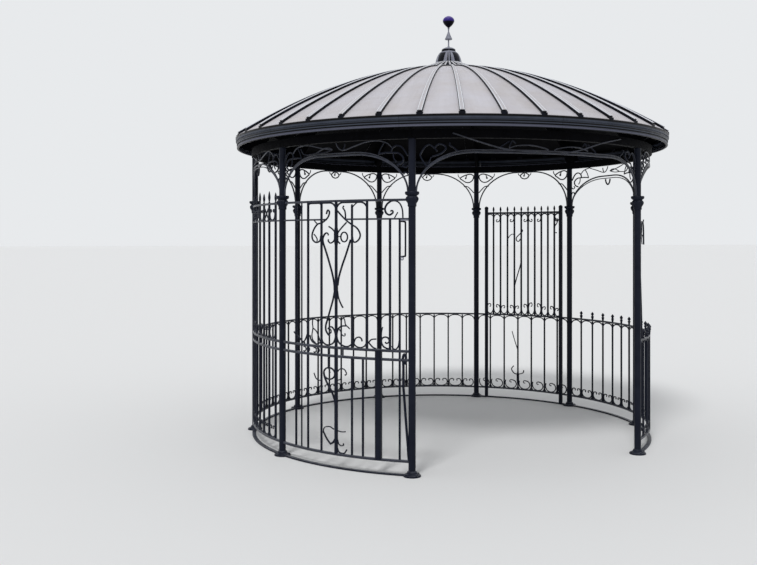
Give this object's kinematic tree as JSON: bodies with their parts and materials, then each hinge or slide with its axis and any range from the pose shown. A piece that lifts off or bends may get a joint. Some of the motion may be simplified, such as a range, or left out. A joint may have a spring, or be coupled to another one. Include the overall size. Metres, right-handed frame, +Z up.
{
  "type": "metal gazebo",
  "caption": "Round metal gazebo: ring of slender posts with scrollwork screens, low railings and arches, open doorway, domed seamed-sheet roof and ball finial.",
  "frame": {"origin": "on the ground at the centre of the ring of posts", "axes": "+Z up, the middle of the doorway faces -Y, +X to the right of someone looking in through the doorway"},
  "size_m": [3.6, 3.6, 3.5271],
  "materials": {
    "ironwork": "satin blue-black paint on wrought steel, faint brush texture and worn edges",
    "castings": "satin blue-black paint on castings, slightly pitted",
    "roof_frame": "dull black paint",
    "fascia": "satin slate-blue paint",
    "roof_sheet": "matt pale grey coated sheet, faintly mottled and weather-stained",
    "roof_ribs": "satin slate paint, worn along the top",
    "finial": "satin blue-black paint",
    "finial_ball": "glossy dark violet-blue enamel"
  },
  "bodies": {
    "root": {"doorway_left_post": "ironwork", "front_left_post": "ironwork", "left_post": "ironwork", "rear_left_post": "ironwork", "rear_post": "ironwork", "rear_right_post": "ironwork", "right_post": "ironwork", "front_right_post": "ironwork", "doorway_right_post": "ironwork", "post_feet": "castings", "post_collars": "castings", "base_ring": "ironwork", "front_left_screen": "ironwork", "left_screen": "ironwork", "left_rear_railing": "ironwork", "rear_left_railing": "ironwork", "rear_right_railing": "ironwork", "right_rear_screen": "ironwork", "right_railing": "ironwork", "front_right_railing": "ironwork", "doorway_arch": "ironwork", "front_left_arch": "ironwork", "left_arch": "ironwork", "left_rear_arch": "ironwork", "rear_left_arch": "ironwork", "rear_right_arch": "ironwork", "right_rear_arch": "ironwork", "right_arch": "ironwork", "front_right_arch": "ironwork", "ring_beam": "ironwork", "rafters": "roof_frame", "rafter_hub": "roof_frame", "fascia": "fascia", "roof_sheets": "roof_sheet", "roof_ribs": "roof_ribs", "finial_cap": "finial", "finial_disc": "finial", "finial_spindle": "finial", "finial_ball": "finial_ball", "grab_handle": "ironwork", "scroll_arm": "ironwork"}
  },
  "joints": []
}
